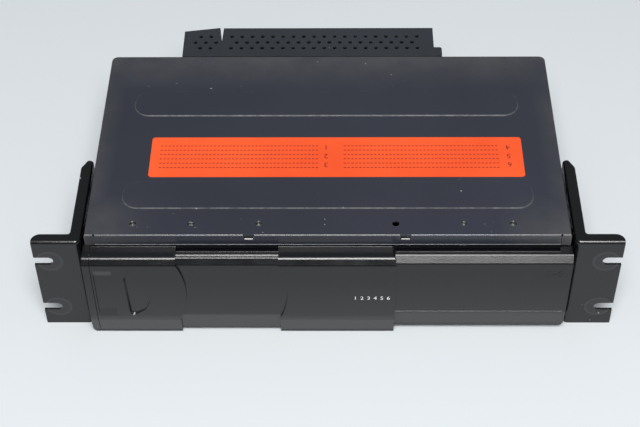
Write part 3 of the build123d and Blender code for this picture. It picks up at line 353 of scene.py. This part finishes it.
def label_mat():
    """Orange-red film, slightly uneven, with a soft sheen."""
    m, nt, b = new_mat("label_film")
    v = coords(nt)
    slow = noise(nt, v, 18.0, 3.0)
    nt.links.new(mix(nt, remap(nt, slow, 0.3, 0.7, 0.0, 1.0), (0.67, 0.066, 0.012), (0.76, 0.090, 0.018)), b.inputs["Base Color"])
    nt.links.new(remap(nt, noise(nt, v, 60.0), 0.3, 0.7, 0.34, 0.46), b.inputs["Roughness"])
    bump(nt, b, noise(nt, v, 420.0, 2.0), 0.12, 0.00003)
    return m


MAT["label_film"] = label_mat()

SLOT = {s["node"]: s["material_slot"] for s in frame["record"]["subparts"]}


def sharpen(ob, width, segments=2):
    """Small rounded edges on a CAD piece, so that its folds catch the light."""
    w = ob.modifiers.new("weld", "WELD")
    w.merge_threshold = 1e-6
    b = ob.modifiers.new("edges", "BEVEL")
    b.width = width
    b.segments = segments
    b.limit_method = "ANGLE"
    b.angle_limit = math.radians(40)
    b.harden_normals = False
    b.use_clamp_overlap = True
    n = ob.modifiers.new("normals", "WEIGHTED_NORMAL")
    n.keep_sharp = False


for name, ob in NODES.items():
    mat = MAT[SLOT[name]]
    ob.data.materials.clear()
    ob.data.materials.append(mat)


# ------------------------------------------------------------ added pieces
def mesh_piece(name, verts, faces, mat, body):
    me = bpy.data.meshes.new(name)
    me.from_pydata([tuple(v) for v in verts], [], faces)
    me.update()
    ob = bpy.data.objects.new(name, me)
    scene.collection.objects.link(ob)
    me.materials.append(mat)
    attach(ob, body)
    return ob


def quads(rects, z0, z1):
    """Thin closed plates from (x0, d0, x1, d1) rectangles in millimetres."""
    verts, faces = [], []
    for x0, d0, x1, d1 in rects:
        n = len(verts)
        for z in (z0, z1):
            verts += [P(x0, d0, z), P(x1, d0, z), P(x1, d1, z), P(x0, d1, z)]
        faces += [(n + 3, n + 2, n + 1, n), (n + 4, n + 5, n + 6, n + 7)]
        for i in range(4):
            j = (i + 1) % 4
            faces.append((n + i, n + j, n + 4 + j, n + 4 + i))
    return verts, faces


def text_piece(name, body_text, size, depth, matrix, mat, body, spacing=1.0):
    """Plain numerals as a thin closed solid, laid by a matrix in metres."""
    cu = bpy.data.curves.new(name, "FONT")
    cu.body = body_text
    cu.size = size
    cu.extrude = depth / 2
    cu.space_character = spacing
    cu.align_x = "CENTER"
    cu.align_y = "CENTER"
    cu.resolution_u = 4
    tmp = bpy.data.objects.new(name + "_tmp", cu)
    scene.collection.objects.link(tmp)
    bpy.context.view_layer.update()
    me = bpy.data.meshes.new_from_object(tmp.evaluated_get(bpy.context.evaluated_depsgraph_get()))
    bpy.data.objects.remove(tmp)
    me.name = name
    bm = bmesh.new()
    bm.from_mesh(me)
    bmesh.ops.remove_doubles(bm, verts=bm.verts, dist=1e-7)
    bm.to_mesh(me)
    bm.free()
    me.transform(matrix)
    me.materials.clear()
    me.materials.append(mat)
    ob = bpy.data.objects.new(name, me)
    scene.collection.objects.link(ob)
    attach(ob, body)
    return ob


def basis(origin, xdir, ydir):
    x, y = Vector(xdir).normalized(), Vector(ydir).normalized()
    z = x.cross(y)
    m = Matrix.Identity(4)
    for i in range(3):
        m[i][0], m[i][1], m[i][2], m[i][3] = x[i], y[i], z[i], origin[i]
    return m


ink = paint("print_ink", (0.20, 0.012, 0.008), 0.45, grain=1500.0, var=0.25)
white_ink = paint("white_ink", (0.72, 0.72, 0.72), 0.45, grain=1500.0, var=0.06)

# the label: a plain index card, two columns of three numbered places with dotted lines to write on
LABEL_TOP = 65.15
rows = []
for x0, x1 in ((-90.5, -6.0), (8.6, 92.5)):
    for k in range(6):
        d = 49.4 + 3.35 * k
        x = x0
        while x < x1:
            rows.append((x, d - 0.27, x + 1.3, d + 0.27))
            x += 2.05
v, f = quads(rows, LABEL_TOP - 0.02, LABEL_TOP + 0.015)
mesh_piece("label_lines", v, f, ink, "case")
for k in range(6):
    m = basis(P(-0.9 if k < 3 else 97.4, 51.6 + 6.7 * (2 - k % 3), LABEL_TOP), (-1, 0, 0), (0, -1, 0))
    text_piece(f"label_number_{k + 1}", str(k + 1), 0.0050, 0.00003, m, ink, "case")

# small white numerals on the outer door
m = basis(P(23.2, -11.99, 29.5), (1, 0, 0), (0, 0, 1))
text_piece("door_numbers", "1 2 3 4 5 6", 0.0036, 0.00004, m, white_ink, "outer_door", 1.18)
# plain raised numerals at the right end of the fixed face
m = basis(P(117.1, -9.62, 45.6), (1, 0, 0), (0, 0, 1))
text_piece("face_numbers", "1-6", 0.0072, 0.00030, m, MAT["bezel_plastic"], "case")
# ------------------------------------------------------------- floor, light
def floor():
    me = bpy.data.meshes.new("floor")
    s = 4.0
    me.from_pydata([(-s, -s, 0), (s, -s, 0), (s, s, 0), (-s, s, 0)], [], [(0, 1, 2, 3)])
    ob = bpy.data.objects.new("floor", me)
    scene.collection.objects.link(ob)
    m, nt, b = new_mat("floor")
    v = coords(nt)
    n = noise(nt, v, 3.0, 3.0)
    nt.links.new(mix(nt, n, (0.535, 0.566, 0.586), (0.552, 0.583, 0.603)), b.inputs["Base Color"])
    b.inputs["Roughness"].default_value = 0.55
    b.inputs["Specular IOR Level"].default_value = 0.25
    bump(nt, b, noise(nt, v, 900.0, 2.0), 0.05, 0.0002)
    me.materials.append(m)


floor()

world = bpy.data.worlds.new("world")
scene.world = world
world.use_nodes = True
wt = world.node_tree
bg = wt.nodes["Background"]
wc = wt.nodes.new("ShaderNodeTexCoord")
ws = wt.nodes.new("ShaderNodeSeparateXYZ")
wt.links.new(wc.outputs["Generated"], ws.inputs[0])
# a soft white ceiling over the front, a dim room below it
up = remap(wt, ws.outputs[2], 0.70, 0.98, 0.0, 1.0)
rear = remap(wt, ws.outputs[1], -0.10, 0.45, 0.0, 1.0)
roof = math_node(wt, "MULTIPLY", up, math_node(wt, "SUBTRACT", 1.0, rear))
room = mix(wt, rear, (0.120, 0.126, 0.135), (0.235, 0.246, 0.266))
wt.links.new(mix(wt, roof, room, (0.74, 0.76, 0.79)), bg.inputs[0])
bg.inputs[1].default_value = 1.0


def area(name, loc, target, size, power, colour=(1, 1, 1), size_y=None):
    li = bpy.data.lights.new(name, "AREA")
    li.energy = power
    li.color = colour
    li.size = size
    if size_y:
        li.shape = "RECTANGLE"
        li.size_y = size_y
    ob = bpy.data.objects.new(name, li)
    ob.location = loc
    d = Vector(target) - Vector(loc)
    ob.rotation_euler = d.to_track_quat("-Z", "Y").to_euler()
    scene.collection.objects.link(ob)
    return ob


key = area("light_key", (0.05, -1.12, 1.78), (0, 0.0, 0), 1.0, 62.0, (1.0, 0.992, 0.978), 0.92)
key.visible_camera = False

scene.view_settings.view_transform = "Standard"
scene.view_settings.look = "None"
scene.view_settings.exposure = 0.0
scene.view_settings.gamma = 1.0
